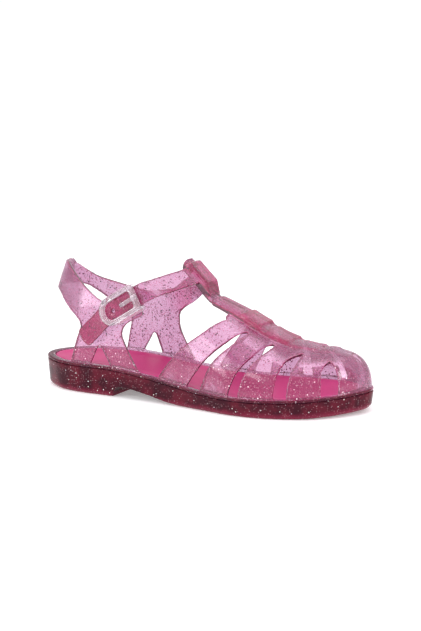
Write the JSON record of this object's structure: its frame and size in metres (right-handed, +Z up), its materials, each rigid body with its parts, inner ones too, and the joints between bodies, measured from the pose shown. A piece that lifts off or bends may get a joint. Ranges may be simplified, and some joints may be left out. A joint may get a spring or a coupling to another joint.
{
  "type": "jelly sandal",
  "caption": "Closed-toe moulded jelly sandal with a strap cage, T-bar and buckled ankle strap, for a right foot.",
  "frame": {"origin": "on the ground, under the middle of the sole's bounding box", "axes": "+X towards the toe, +Y to the medial side, +Z up"},
  "size_m": [0.2498, 0.0868, 0.0965],
  "materials": {
    "outsole": "dark maroon translucent PVC with mixed glitter",
    "insole": "opaque bright pink soft PVC, satin gloss",
    "upper": "clear pink PVC with fine glitter and dark flakes",
    "buckle": "clear colourless plastic"
  },
  "bodies": {
    "root": {"outsole": "outsole", "insole": "insole", "upper": "upper", "buckle_frame": "buckle", "buckle_prong": "buckle"}
  },
  "joints": []
}
